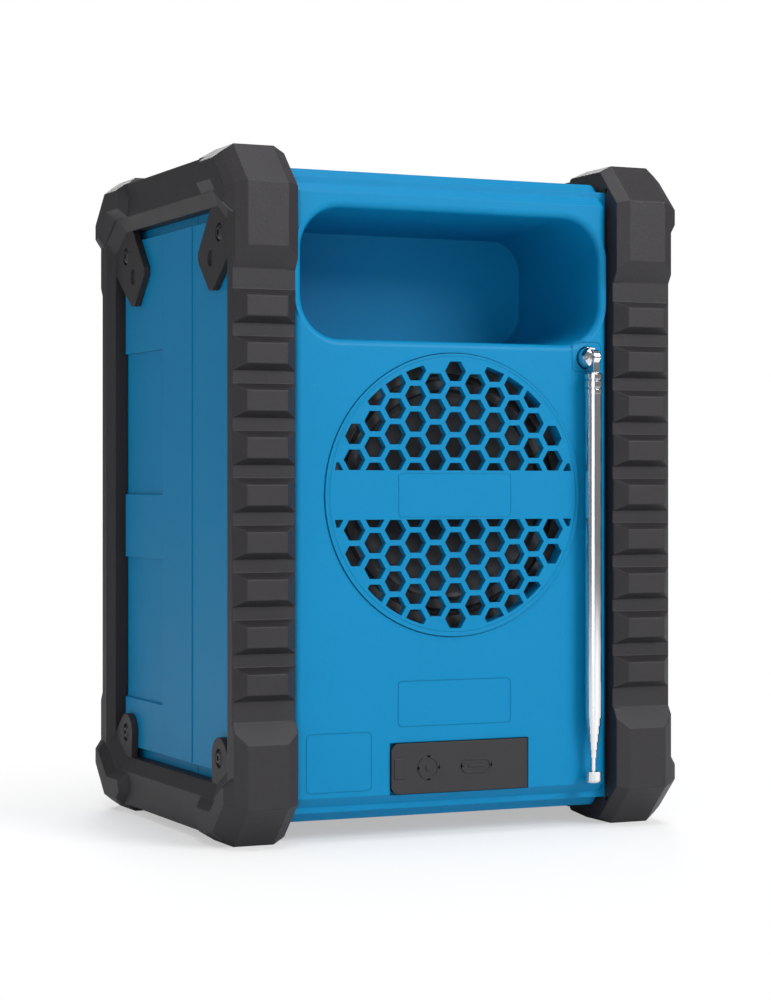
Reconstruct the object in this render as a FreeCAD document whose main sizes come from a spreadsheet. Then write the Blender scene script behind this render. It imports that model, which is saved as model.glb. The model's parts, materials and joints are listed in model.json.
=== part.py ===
import FreeCAD, Part
import Sketcher
import math
import os

from FreeCAD import Placement, Rotation, Vector

# Jobsite radio: two moulded shells between a pair of ribbed rubber bumper frames.
# Frame: +Z up, +Y out of the grille side with the antenna, -Y out of the control side.
# The origin is on the floor, under the middle of the radio. All sizes are millimetres.

doc = FreeCAD.newDocument("jobsite_radio")
sheet = doc.addObject("Spreadsheet::Sheet", "Sizes")

# Each row is a name, its value and what it measures.
SIZES = [
    # Overall
    ("overall_height", 241.0, "floor to the top of the corner blocks"),
    ("frame_depth", 151.0, "corner block face to corner block face"),
    # Shells
    ("body_width", 160.0, "across the side panels"),
    ("body_depth", 135.0, "front face to rear face"),
    ("body_height", 227.0, "underside to top, set midway up the bumpers"),
    ("belt_width", 123.6, "raised middle of the shells, between the bumper posts"),
    ("belt_bevel", 8.7, "bevel at the top and bottom of both faces"),
    ("belt_round", 3.0, "rounding of the upright edges of the middle"),
    ("side_rebate", 2.5, "how far the core lies under a side panel"),
    ("face_rebate", 3.3, "how far the core lies under the faces, top and bottom"),
    ("panel_length", 117.0, "side panel, front to back"),
    ("panel_height", 193.0, "side panel, upright"),
    ("panel_nip_along", 4.5, "cut corner of a side panel, front to back"),
    ("panel_nip_down", 2.6, "cut corner of a side panel, upright"),
    ("shell_wall", 2.6, "moulded wall"),
    ("seam_place", 16.0, "joint of the two shells, rearwards of the middle"),
    ("seal_size", 1.6, "square rubber cord in the joint"),
    ("field_depth", 1.2, "sunk fields in the side panels"),
    ("field_length", 50.0, "sunk field, front to back"),
    ("field_height", 54.0, "sunk field, upright"),
    ("field_pitch", 78.0, "from one sunk field to the next"),
    ("field_slope", 3.0, "run-out of a sunk field's rear end"),
    # Hand recess
    ("recess_width", 117.2, "mouth of the hand recess"),
    ("recess_height", 45.8, "mouth of the hand recess"),
    ("recess_middle", 190.4, "shells' underside to the hand recess's middle"),
    ("recess_depth", 58.0, "face to the recess's back wall"),
    ("recess_draft", 3.2, "how much each side draws in by the back wall"),
    ("recess_corner", 15.0, "corner radius of the mouth"),
    ("recess_lip", 2.4, "rounding of the mouth's rim"),
    # Bumper frames
    ("post_inner", 62.3, "middle plane to a bumper's inner edge"),
    ("post_outer", 85.4, "middle plane to a bumper's side face"),
    ("armour_outer", 88.4, "middle plane to the corner armour"),
    ("post_sink", 4.7, "post face below the corner block's face"),
    ("rail_sink", 3.0, "rail below the corner block's top"),
    ("frame_fit", 0.2, "clearance between a bumper and the shells"),
    ("edge_facet", 4.0, "width of the facet along the inner edge"),
    ("edge_drop", 0.5, "drop of that facet"),
    ("window_post", 12.2, "block face to the window's upright edge"),
    ("window_rail", 20.3, "block top to the window's level edge"),
    ("window_bevel", 2.8, "bevel round the window, across"),
    ("window_bevel_level", 4.9, "bevel round the window, along the rails"),
    ("window_corner_along", 13.8, "cut corner of the window, along the rail"),
    ("window_corner_down", 8.0, "cut corner of the window, along the post"),
    ("block_face", 35.9, "corner block face, from the top down"),
    ("block_foot", 43.3, "where the block's slope meets the post"),
    ("block_corner", 14.0, "slanted corner of the block"),
    ("block_reach", 32.5, "block top, from the face inwards"),
    ("block_run", 5.0, "slope from the block top to the rail"),
    ("block_inner_bevel", 2.3, "bevel depth at the inner edge"),
    ("block_outer_bevel", 2.7, "bevel depth at the outer edge"),
    ("block_face_inner", 66.6, "middle plane to the block face's inner edge"),
    ("block_face_outer", 81.4, "middle plane to the block face's outer edge"),
    ("armour_inset", 5.0, "armour edge in from the block's outline"),
    ("armour_down", 21.5, "block top to the end of the armour's upright arm"),
    ("armour_along", 33.5, "block face to the end of the armour's level arm"),
    ("armour_arm", 12.0, "height of the armour's level arm"),
    ("armour_knee", 18.6, "block face to the armour's inner knee"),
    ("armour_slope", 3.2, "run of the armour's end bevels"),
    ("rib_pitch", 16.07, "from one rib to the next"),
    ("rib_count", 9.0, "ribs on each post"),
    ("rib_foot", 11.6, "rib height at the post"),
    ("rib_crest", 6.95, "rib height at its face"),
    ("rib_proud", 4.0, "how far a rib stands off the post"),
    # Lugs and their screws
    ("lug_thick", 2.6, "lug plate on the side panel"),
    ("lug_screw_in", 25.0, "block face to a lug screw"),
    ("lug_screw_down", 29.4, "block top or foot to a lug screw"),
    ("lug_round", 7.2, "radius of the round lower lugs"),
    ("lug_reach", 46.0, "block face to the tip of an upper lug"),
    ("lug_drop", 49.0, "block top to the foot of an upper lug"),
    ("lug_width", 11.0, "upper lug, from its screw's line to each long edge"),
    ("dimple_radius", 3.0, "blind mark beside an upper screw"),
    ("dimple_offset", 8.3, "upper screw to its blind mark, each way"),
    ("screw_radius", 1.5, "M3 screw"),
    ("screw_head_radius", 2.8, "button head"),
    ("screw_head_height", 1.6, "button head"),
    ("screw_length", 10.0, "under the head"),
    ("screw_socket", 1.0, "hexagon socket, half its width"),
    ("screw_fit", 0.1, "clearance round a screw"),
    ("head_fit", 0.5, "clearance round a screw's head"),
    ("boss_wall", 2.2, "plastic round a screw"),
    # Rear grille
    ("grille_middle", 113.5, "shells' underside to the rear grille's middle"),
    ("grille_radius", 50.0, "rim of a grille disc"),
    ("grille_open_radius", 47.2, "circle that clips the cells"),
    ("grille_thick", 3.0, "grille disc"),
    ("grille_proud", 0.5, "how far a disc stands off the face"),
    ("grille_fit", 0.2, "clearance round a disc"),
    ("grille_bar", 17.2, "solid bar across the middle"),
    ("cell_flat", 7.1, "cell, flat to flat"),
    ("cell_pitch", 9.0, "from one cell to the next, upright"),
    ("bar_to_cell", 3.65, "bar to the middle of the first full cell"),
    ("seat_wall", 3.4, "ring behind a disc that carries it"),
    ("seat_width", 7.8, "width of that ring"),
    # Passive radiator behind the rear grille
    ("radiator_radius", 51.0, "radiator frame"),
    ("radiator_opening", 43.0, "opening of the radiator frame"),
    ("radiator_flange", 2.4, "thickness of the radiator frame"),
    ("radiator_depth", 9.0, "radiator frame, front to back"),
    ("cone_edge", 35.0, "outer radius of a cone"),
    ("roll_height", 2.4, "half roll of a surround"),
    ("rubber_thick", 0.8, "surround"),
    ("cone_thick", 0.8, "cone"),
    ("radiator_dish", 6.0, "depth of the radiator's cone"),
    ("weight_radius", 10.0, "steel disc on the radiator's cone"),
    ("weight_thick", 3.0, "steel disc on the radiator's cone"),
    # Speaker behind the front grille
    ("speaker_middle", 79.0, "shells' underside to the speaker's middle"),
    ("front_slot", 3.4, "slots of the front grille"),
    ("front_slot_pitch", 6.6, "from one slot to the next"),
    ("front_rib", 5.0, "upright rib across the slots"),
    ("basket_depth", 30.0, "speaker basket, front to back"),
    ("basket_back", 22.0, "radius of the basket's back"),
    ("basket_wall", 1.4, "pressed steel"),
    ("basket_rim", 4.5, "straight part of the basket, round the surround"),
    ("magnet_radius", 27.0, "ferrite ring and its plates"),
    ("magnet_thick", 13.0, "ferrite ring and its plates"),
    ("pole_radius", 12.0, "pole and voice coil"),
    ("cone_depth", 17.0, "depth of the speaker's cone"),
    ("dust_cap_rise", 4.0, "dome of the dust cap"),
    # Control panel
    ("panel_width", 112.0, "control panel"),
    ("panel_tall", 74.0, "control panel"),
    ("panel_middle", 174.0, "shells' underside to the control panel's middle"),
    ("panel_thick", 2.6, "control panel"),
    ("panel_corner", 6.0, "corner radius of the control panel"),
    ("panel_seat", 3.0, "ledge that carries the control panel"),
    ("lens_width", 60.0, "display window"),
    ("lens_height", 27.0, "display window"),
    ("lens_place", -20.0, "middle of the display, across"),
    ("lens_rise", 16.0, "middle of the display over the panel's middle"),
    ("lens_thick", 1.6, "display window"),
    ("lens_ledge", 2.0, "ledge that carries the window"),
    ("board_gap", 12.0, "control panel's back to the main board"),
    ("board_thick", 1.6, "circuit boards"),
    ("board_margin", 4.0, "main board inside the control panel's edge"),
    ("stand_radius", 3.0, "stand-offs of the boards"),
    ("stand_rise", 13.0, "lower stand-offs, raised clear of the push buttons"),
    ("button_width", 12.0, "push button"),
    ("button_height", 8.0, "push button"),
    ("button_pitch", 17.6, "from one push button to the next"),
    ("button_drop", 24.0, "push buttons below the panel's middle"),
    ("button_proud", 1.6, "push button over the panel"),
    ("button_travel", 0.8, "push button"),
    ("button_flange", 1.2, "rim that holds a push button in"),
    ("button_fit", 0.25, "clearance round a push button"),
    ("switch_height", 5.0, "switch under a push button"),
    ("switch_width", 6.0, "switch under a push button"),
    ("knob_place", 33.0, "middle of the knob, across"),
    ("knob_rise", 14.0, "middle of the knob over the panel's middle"),
    ("knob_radius", 15.0, "volume knob"),
    ("knob_height", 7.0, "volume knob"),
    ("knob_gap", 0.4, "control panel to the knob"),
    ("knob_bore_depth", 5.0, "bore of the volume knob"),
    ("knob_grooves", 24.0, "finger grooves round the knob"),
    ("shaft_radius", 3.0, "encoder shaft"),
    ("bush_radius", 4.5, "encoder bush"),
    ("encoder_width", 13.0, "encoder body"),
    ("run_fit", 0.05, "running clearance of a shaft or tube"),
    # Battery
    ("cell_radius", 9.1, "rechargeable cell"),
    ("cell_length", 65.0, "rechargeable cell"),
    ("tray_wall", 1.8, "battery tray"),
    ("tray_gap", 0.3, "clearance round a cell"),
    ("tray_place", -9.0, "middle of the battery tray, front to back"),
    ("strip_thick", 0.3, "nickel strip across the cell ends"),
    # Ports
    ("flap_width", 54.0, "port flap"),
    ("flap_height", 17.7, "port flap"),
    ("flap_place", -2.0, "middle of the port flap, across"),
    ("flap_middle", 17.6, "shells' underside to the port flap's middle"),
    ("flap_thick", 2.6, "port flap"),
    ("flap_sink", 1.8, "recess under the port flap"),
    ("flap_gap", 0.25, "clearance round the port flap"),
    ("flap_corner", 3.0, "corner of the port flap"),
    ("flap_tab", 5.0, "finger tab of the port flap, across"),
    ("port_wall", 2.4, "thicker wall behind the ports"),
    ("port_board_gap", 11.0, "port wall to the port board"),
    ("jack_place", 11.0, "audio jack, across"),
    ("jack_bore", 1.8, "bore of the audio jack, radius"),
    ("jack_depth", 12.0, "bore of the audio jack"),
    ("jack_nose", 3.4, "round nose of the audio jack, radius"),
    ("jack_width", 9.0, "audio jack body"),
    ("jack_height", 5.6, "audio jack body"),
    ("reset_place", -1.5, "reset button, across"),
    ("reset_radius", 1.0, "reset button"),
    ("reset_travel", 0.5, "reset button"),
    ("socket_place", -13.0, "charging socket, across"),
    ("socket_width", 8.9, "charging socket"),
    ("socket_height", 3.2, "charging socket"),
    ("socket_wall", 0.4, "charging socket's steel"),
    ("port_fit", 0.15, "clearance round a port"),
    # Telescopic antenna
    ("antenna_place", -53.2, "antenna, across"),
    ("antenna_pivot", 163.0, "shells' underside to the antenna's pivot"),
    ("antenna_proud", 4.75, "rear face to the antenna's axis"),
    ("turret_radius", 3.9, "swivelling turret"),
    ("turret_fit", 0.3, "clearance round the turret's head"),
    ("turret_stem", 2.0, "stem of the turret, radius"),
    ("turret_sink", 6.1, "turret's foot below the rear face"),
    ("turret_rise", 6.5, "rear face to the top of the turret"),
    ("tang_thick", 2.4, "tang in the turret's slot"),
    ("tang_radius", 3.0, "round end of the tang"),
    ("tang_length", 5.6, "pivot to the ferrule"),
    ("pin_radius", 0.8, "pivot pin"),
    ("ferrule_radius", 3.3, "ferrule"),
    ("ferrule_length", 7.4, "ferrule"),
    ("ferrule_groove", 0.45, "depth and half width of the ferrule's grooves"),
    ("tube_radius", 3.05, "outermost tube"),
    ("tube_length", 117.0, "outermost tube"),
    ("tube_wall", 0.3, "antenna tubes"),
    ("tube_count", 6.0, "nested tubes"),
    ("tube_step", 2.85, "how far each nested tube stands out"),
    ("rod_length", 5.0, "rod that stands out of the last tube"),
    ("cap_radius", 2.95, "end cap"),
    ("cap_length", 4.0, "end cap"),
    ("bracket_thick", 1.5, "steel bracket inside"),
    ("bracket_size", 14.0, "steel bracket inside"),
    # Shell screws
    ("shell_screw_in", 69.0, "middle plane to a shell screw"),
    ("shell_screw_down", 102.0, "mid height to a shell screw"),
    ("shell_screw_length", 44.0, "shell screw, under its head"),
]

for row, (alias, value, note) in enumerate(SIZES, start=1):
    sheet.set("A%d" % row, alias)
    sheet.set("B%d" % row, "%g" % value)
    sheet.set("C%d" % row, note)
    sheet.setAlias("B%d" % row, alias)
doc.recompute()


class Size:
    """A length that knows its own formula in the sheet."""

    def __init__(self, value, text):
        self.value = float(value)
        self.text = text

    def __float__(self):
        return self.value

    def __add__(self, other):
        return combine(self, other, "+", self.value + float(other))

    def __radd__(self, other):
        return combine(other, self, "+", float(other) + self.value)

    def __sub__(self, other):
        return combine(self, other, "-", self.value - float(other))

    def __rsub__(self, other):
        return combine(other, self, "-", float(other) - self.value)

    def __mul__(self, other):
        return combine(self, other, "*", self.value * float(other))

    def __rmul__(self, other):
        return combine(other, self, "*", float(other) * self.value)

    def __truediv__(self, other):
        return combine(self, other, "/", self.value / float(other))

    def __neg__(self):
        return 0.0 - self


def formula(value):
    return value.text if isinstance(value, Size) else repr(float(value))


def combine(left, right, sign, value):
    return Size(value, "(%s %s %s)" % (formula(left), sign, formula(right)))


class Sheet:
    """The sheet's cells as attributes."""


d = Sheet()
for alias, value, note in SIZES:
    setattr(d, alias, Size(sheet.get(alias), "Sizes." + alias))


def bind(thing, path, value):
    """Set a property to a size, and tie it to the size's formula."""
    thing.setExpression(path, formula(value))


def add(kind, name):
    return doc.addObject(kind, name)


def axis_turn(axis):
    """The turn that lays a Z-long primitive along an axis."""
    return Rotation(Vector(0, 0, 1), axis)


def place(thing, x=0.0, y=0.0, z=0.0, turn=None):
    thing.Placement = Placement(Vector(float(x), float(y), float(z)), turn or Rotation())
    bind(thing, "Placement.Base.x", x)
    bind(thing, "Placement.Base.y", y)
    bind(thing, "Placement.Base.z", z)
    return thing


def box(x0, x1, y0, y1, z0, z1, name="Box"):
    """A box from its six faces."""
    thing = add("Part::Box", name)
    bind(thing, "Length", x1 - x0)
    bind(thing, "Width", y1 - y0)
    bind(thing, "Height", z1 - z0)
    return place(thing, x0, y0, z0)


def rod(radius, length, x, y, z, axis, name="Rod"):
    """A cylinder from the middle of its first end."""
    thing = add("Part::Cylinder", name)
    bind(thing, "Radius", radius)
    bind(thing, "Height", length)
    return place(thing, x, y, z, axis_turn(axis))


def cut(base, *tools, name="Cut"):
    thing = add("Part::Cut", name)
    thing.Base = base
    thing.Tool = tools[0] if len(tools) == 1 else fuse(*tools)
    return thing


def fuse(*shapes, name="Fuse"):
    thing = add("Part::MultiFuse", name)
    thing.Shapes = list(shapes)
    return thing


def common(first, second, name="Common"):
    thing = add("Part::Common", name)
    thing.Base = first
    thing.Tool = second
    return thing


def outline(points, name="Outline"):
    """A closed sketch whose every corner is held at its two sizes."""
    sketch = add("Sketcher::SketchObject", name)
    count = len(points)
    spots = [Vector(float(x), float(y), 0) for x, y in points]
    for i in range(count):
        sketch.addGeometry(Part.LineSegment(spots[i], spots[(i + 1) % count]))
    for i in range(count):
        sketch.addConstraint(Sketcher.Constraint("Coincident", i, 2, (i + 1) % count, 1))
    for i, (x, y) in enumerate(points):
        for kind, size, on_axis in (("DistanceX", x, -2), ("DistanceY", y, -1)):
            if float(size) == 0.0:
                sketch.addConstraint(Sketcher.Constraint("PointOnObject", i, 1, on_axis))
                continue
            held = sketch.addConstraint(Sketcher.Constraint(kind, -1, 1, i, 1, float(size)))
            bind(sketch, "Constraints[%d]" % held, size)
    return sketch


def prism(points, start, length, axis, name="Prism"):
    """An outline pushed out: along X it is drawn in (y, z), along Y in (x, z)."""
    sketch = outline(points)
    if axis == "X":
        place(sketch, x=start, turn=Rotation(Vector(0, 1, 0), Vector(0, 0, 1), Vector(1, 0, 0), "ZXY"))
        direction = Vector(1, 0, 0)
    elif axis == "Y":
        place(sketch, y=start, turn=Rotation(Vector(1, 0, 0), 90))
        direction = Vector(0, 1, 0)
    else:
        place(sketch, z=start)
        direction = Vector(0, 0, 1)
    thing = add("Part::Extrusion", name)
    thing.Base = sketch
    thing.DirMode = "Custom"
    thing.Dir = direction
    thing.Solid = True
    bind(thing, "LengthFwd", length)
    return thing


def turned(points, x, y, z, axis, name="Turned"):
    """A profile of (radius, height) corners turned round its own axis."""
    thing = add("Part::Revolution", name)
    thing.Source = outline(points)
    thing.Axis = Vector(0, 1, 0)
    thing.Base = Vector(0, 0, 0)
    thing.Angle = 360
    thing.Solid = True
    # The sketch's own Y is the turned axis, so it is laid along the wanted one.
    return place(thing, x, y, z, Rotation(Vector(0, 1, 0), axis))


def rounded(thing, radius, chosen, name="Rounded"):
    """Fillet the edges whose middle passes the test."""
    doc.recompute()
    picked = [(i, float(radius), float(radius)) for i, edge in enumerate(thing.Shape.Edges, start=1)
              if chosen(edge.BoundBox.Center, edge)]
    fillet = add("Part::Fillet", name)
    fillet.Base = thing
    fillet.Edges = picked
    return fillet


def solid(label, shape):
    """A piece whose shape is worked out in code from the sheet's sizes."""
    thing = add("Part::Feature", label)
    thing.Shape = shape
    return thing


NODES = []


def node(label, thing):
    """Name a finished piece; the label is also its file's name."""
    thing.Label = label
    NODES.append(thing)
    return thing


def near(a, b):
    return abs(float(a) - float(b)) < 0.02


OUT = Vector(0, 1, 0)
IN = Vector(0, -1, 0)
RIGHT = Vector(1, 0, 0)
LEFT = Vector(-1, 0, 0)
UP = Vector(0, 0, 1)

# Places that several pieces share
middle = d.overall_height / 2
rear = d.body_depth / 2
front = -rear
top = middle + d.body_height / 2
bottom = middle - d.body_height / 2
recess_z = bottom + d.recess_middle
grille_z = bottom + d.grille_middle
speaker_z = bottom + d.speaker_middle
panel_z = bottom + d.panel_middle
flap_z = bottom + d.flap_middle
pivot_z = bottom + d.antenna_pivot
core_x = d.body_width / 2 - d.side_rebate
core_y = rear - d.face_rebate
core_top = top - d.face_rebate
core_bottom = bottom + d.face_rebate
belt_x = d.belt_width / 2
block_y = d.frame_depth / 2
lug_face = d.body_width / 2 + d.lug_thick
lug_y = block_y - d.lug_screw_in
lug_tops = (d.lug_screw_down, d.overall_height - d.lug_screw_down)


# Shells: a core, a raised middle belt and two side panels, hollowed out
def shell(side, seam):
    """One shell between the seam and its own face; side is +1 at the rear."""
    def across(a, b):
        return (a, b) if side > 0 else (-b, -a)

    y_core = across(seam, core_y)
    core = box(-core_x, core_x, y_core[0], y_core[1], core_bottom, core_top)
    reach, half_up = d.panel_length / 2, d.panel_height / 2
    panel_points = [(seam, middle - half_up), (reach - d.panel_nip_along, middle - half_up),
                    (reach, middle - half_up + d.panel_nip_down), (reach, middle + half_up - d.panel_nip_down),
                    (reach - d.panel_nip_along, middle + half_up), (seam, middle + half_up)]
    belt_points = [(seam, bottom), (rear - d.belt_bevel, bottom), (rear, bottom + d.belt_bevel),
                   (rear, top - d.belt_bevel), (rear - d.belt_bevel, top), (seam, top)]
    if side < 0:
        belt_points = [(-y, z) for y, z in reversed(belt_points)]
        panel_points = [(-y, z) for y, z in reversed(panel_points)]
    panels = prism(panel_points, -d.body_width / 2, d.body_width, "X")
    belt = prism(belt_points, -belt_x, d.belt_width, "X")
    belt = rounded(belt, d.belt_round, lambda c, e: near(abs(c.x), belt_x) and abs(c.y - side * float(seam)) > 1
                   and len(e.Vertexes) == 2)
    wall = d.shell_wall
    y_hollow = across(seam - 1.0, core_y - wall)
    hollow = box(wall - core_x, core_x - wall, y_hollow[0], y_hollow[1], core_bottom + wall, core_top - wall)
    y_deep = across(seam - 1.0, rear - wall)
    slim = belt_x - wall - d.belt_round
    deep = box(-slim, slim, y_deep[0], y_deep[1], core_bottom + wall + d.belt_bevel, core_top - wall - d.belt_bevel)
    low = box(-slim, slim, y_deep[0] if side > 0 else -(rear - d.belt_bevel), rear - d.belt_bevel if side > 0 else y_deep[1],
              bottom + wall, top - wall)
    return fuse(core, panels, belt), [hollow, deep, low]


def lug_bosses(side):
    """Bosses behind the lug screws and their pilot holes, for one shell."""
    bosses, holes = [], []
    reach = core_x - d.shell_wall
    for hand, axis in ((1, LEFT), (-1, RIGHT)):
        for height in lug_tops:
            face = hand * (d.body_width / 2)
            bosses.append(rod(d.screw_radius + d.boss_wall, d.screw_length + 1.0, hand * (reach + 0.5),
                              side * lug_y, height, axis))
            holes.append(rod(d.screw_radius + d.screw_fit, d.screw_length + 0.5, face, side * lug_y, height, axis))
    return bosses, holes


def shell_screw_places():
    for x in (-d.shell_screw_in, d.shell_screw_in):
        for z in (middle - d.shell_screw_down, middle + d.shell_screw_down):
            yield x, z


def rounded_block(x, z, width, height, corner, y0, y1):
    """An upright rounded rectangle between two depths."""
    block = box(x - width / 2, x + width / 2, y0, y1, z - height / 2, z + height / 2)
    return rounded(block, corner, lambda c, e: near(c.y, (float(y0) + float(y1)) / 2) and near(
        e.Length, float(y1) - float(y0)))


def tapered_well(inset, back, name="Well"):
    """The hand recess as a loft from its mouth to its back wall."""
    sections = []
    for y, shrink in ((rear + inset * 0.0, -inset), (back, d.recess_draft - inset)):
        w = float(d.recess_width / 2 - shrink)
        h = float(d.recess_height / 2 - shrink)
        r = float(d.recess_corner) - float(shrink)
        z = float(recess_z)
        corners = [(w, h, 0), (-w, h, 90), (-w, -h, 180), (w, -h, 270)]
        edges, last, first = [], None, None
        for cx, cz, start in corners:
            mx, mz = cx - math.copysign(r, cx), cz - math.copysign(r, cz)
            spots = [Vector(mx + r * math.cos(math.radians(start + a)), float(y),
                            z + mz + r * math.sin(math.radians(start + a))) for a in (0, 45, 90)]
            if last is not None:
                edges.append(Part.makeLine(last, spots[0]))
            else:
                first = spots[0]
            edges.append(Part.Arc(*spots).toShape())
            last = spots[2]
        edges.append(Part.makeLine(last, first))
        sections.append(Part.Wire(edges))
    return solid(name, Part.makeLoft(sections, True, True))


# Rear shell
rear_solid, rear_hollows = shell(1, d.seam_place)
recess_back = rear - d.recess_depth
well_outer = tapered_well(d.shell_wall, recess_back - d.shell_wall, "WellOuter")
well_inner = tapered_well(0.0 * d.shell_wall, recess_back, "WellInner")
bosses, pilot_holes = lug_bosses(1)
seat_depth = d.grille_thick - d.grille_proud
seat_ring = rod(d.grille_open_radius + d.seat_width, d.seat_wall, 0, rear - seat_depth, grille_z, IN)
grille_hole = rod(d.grille_open_radius, 4 * d.seat_wall, 0, rear + 1.0, grille_z, IN)
grille_seat = rod(d.grille_radius + d.grille_fit, seat_depth + 1.0, 0, rear + 1.0, grille_z, IN)

port_face = rear - d.flap_sink
port_back = port_face - d.port_wall
port_wall = box(d.flap_place - d.flap_width / 2 - 2.0, d.flap_place + d.flap_width / 2 + 2.0,
                port_back, port_face, flap_z - d.flap_height / 2 - 1.0, flap_z + d.flap_height / 2 + 2.0)
flap_well = box(d.flap_place - d.flap_width / 2 - d.flap_gap, d.flap_place + d.flap_width / 2 + d.flap_gap,
                port_face, rear + 1.0, flap_z - d.flap_height / 2 - d.flap_gap,
                flap_z + d.flap_height / 2 + d.flap_gap)
jack_hole = rod(d.jack_nose + d.port_fit, 6 * d.port_wall, d.jack_place, rear, flap_z, IN)
reset_hole = rod(d.reset_radius + d.port_fit, 6 * d.port_wall, d.reset_place, rear, flap_z, IN)
socket_hole = box(d.socket_place - d.socket_width / 2 - d.port_fit, d.socket_place + d.socket_width / 2 + d.port_fit,
                  port_back - 1.0, rear, flap_z - d.socket_height / 2 - d.port_fit,
                  flap_z + d.socket_height / 2 + d.port_fit)
port_board_y = port_back - d.port_board_gap
stand_x = d.flap_width / 2 - d.stand_radius
port_stands = [rod(d.stand_radius, d.port_board_gap + 0.5, d.flap_place + s * stand_x, port_back + 0.5,
                   flap_z, IN) for s in (-1, 1)]
turret_hole = rod(d.turret_radius + d.turret_fit, 3 * d.shell_wall, d.antenna_place, rear + 1.0, pivot_z, IN)
bracket_y = rear - d.turret_sink
turret_pad = rod(d.bracket_size / 2, d.turret_sink - d.shell_wall, d.antenna_place, rear - d.shell_wall, pivot_z, IN)
screw_bosses, screw_holes = [], []
screw_head_y = core_y - d.screw_head_height - 1.0
for x, z in shell_screw_places():
    screw_bosses.append(rod(d.screw_head_radius + d.head_fit + d.boss_wall, core_y - d.seam_place, x, core_y, z, IN))
    screw_holes.append(rod(d.screw_radius + d.screw_fit, core_y - d.seam_place + 2.0, x, core_y + 1.0, z, IN))
    screw_holes.append(rod(d.screw_head_radius + d.head_fit, core_y - screw_head_y + 1.0, x, core_y + 1.0, z, IN))
rear_shell = cut(fuse(cut(rear_solid, *rear_hollows), common(fuse(*screw_bosses, *bosses, seat_ring, port_wall, turret_pad,
                 well_outer), box(-core_x, core_x, recess_back - 10.0, rear, core_bottom, core_top)), *port_stands),
                 grille_hole, grille_seat, flap_well, jack_hole, reset_hole, socket_hole, turret_hole, well_inner,
                 *pilot_holes, *screw_holes)
mouth = rounded(rear_shell, d.recess_lip, lambda c, e: near(c.y, rear) and e.BoundBox.YLength < 0.01
                and abs(c.z - float(recess_z)) < float(d.recess_height) / 2 + 0.1
                and abs(c.x) < float(d.recess_width) / 2 + 0.1 and len(e.Vertexes) == 2)
node("rear_housing", mouth)

# Front shell, with openings for the control panel and the front grille
front_solid, front_hollows = shell(-1, d.seam_place)
bosses, pilot_holes = lug_bosses(-1)
front_seat = d.grille_thick - d.grille_proud
front_ring = rod(d.grille_open_radius + d.seat_width, d.seat_wall, 0, front + front_seat, speaker_z, OUT)
front_hole = rod(d.grille_open_radius, 4 * d.seat_wall, 0, front - 1.0, speaker_z, OUT)
front_sink = rod(d.grille_radius + d.grille_fit, front_seat + 1.0, 0, front - 1.0, speaker_z, OUT)
panel_back = front + d.panel_thick
panel_ring = rounded_block(0.0 * d.panel_width, panel_z, d.panel_width + 2 * d.seat_wall,
                           d.panel_tall + 2 * d.seat_wall, d.panel_corner, front + 0.5, panel_back + d.seat_wall)
panel_sink = rounded_block(0.0 * d.panel_width, panel_z, d.panel_width + 2 * d.grille_fit,
                           d.panel_tall + 2 * d.grille_fit, d.panel_corner, front - 1.0, panel_back)
panel_hole = rounded_block(0.0 * d.panel_width, panel_z, d.panel_width - 2 * d.panel_seat,
                           d.panel_tall - 2 * d.panel_seat, d.panel_corner - 2.0, front - 1.0,
                           panel_back + d.seat_wall + 1.0)
screw_bosses, screw_holes = [], []
for x, z in shell_screw_places():
    screw_bosses.append(rod(d.screw_head_radius + d.head_fit + d.boss_wall, d.seam_place + core_y - 1.0, x,
                            d.seam_place, z, IN))
    screw_holes.append(rod(d.screw_radius + d.screw_fit, d.shell_screw_length, x, d.seam_place + 1.0, z, IN))
fields = []
for hand in (-1, 1):
    for rise in (-1, 1):
        deep = d.field_depth
        x_low = hand * (d.body_width / 2 - deep) if hand > 0 else -d.body_width / 2 - 1.0
        x_high = d.body_width / 2 + 1.0 if hand > 0 else -(d.body_width / 2 - deep)
        z_mid = middle + rise * d.field_pitch / 2 - 12.0
        start = -d.panel_length / 2 - 1.0
        field = box(x_low, x_high, start, start + d.field_length, z_mid - d.field_height / 2, z_mid + d.field_height / 2)
        fields.append(rounded(field, d.field_slope, lambda c, e: near(e.Length, float(d.field_depth) + 1.0)
                              and c.y > float(start) + 1))
front_housing = cut(fuse(cut(front_solid, *front_hollows), common(fuse(*screw_bosses, *bosses, front_ring, panel_ring),
                    box(-core_x, core_x, front + 0.5, d.seam_place, core_bottom, core_top))),
                    front_hole, front_sink, panel_sink, panel_hole, *pilot_holes, *screw_holes, *fields)
node("front_housing", front_housing)

# Seal: a square cord that stands in the joint, just inside both walls
seal_x = core_x - d.shell_wall
seal_out = box(-seal_x, seal_x, d.seam_place - d.seal_size, d.seam_place + d.seal_size,
               core_bottom + d.shell_wall, core_top - d.shell_wall)
seal_in = box(d.seal_size - seal_x, seal_x - d.seal_size, d.seam_place - 2 * d.seal_size,
              d.seam_place + 2 * d.seal_size, core_bottom + d.shell_wall + d.seal_size,
              core_top - d.shell_wall - d.seal_size)
keep_out = [box(hand * d.shell_screw_in - 6.5, hand * d.shell_screw_in + 6.5, d.seam_place - 9.0, d.seam_place + 9.0,
                z - 6.5, z + 6.5) for hand in (-1, 1) for z in (middle - d.shell_screw_down,
                                                             middle + d.shell_screw_down)]
belt_gap = box(d.shell_wall - belt_x, belt_x - d.shell_wall, d.seam_place - 9.0, d.seam_place + 9.0,
               bottom, core_top + 9.0)
node("housing_seal", cut(seal_out, seal_in, *keep_out, belt_gap))


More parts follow.
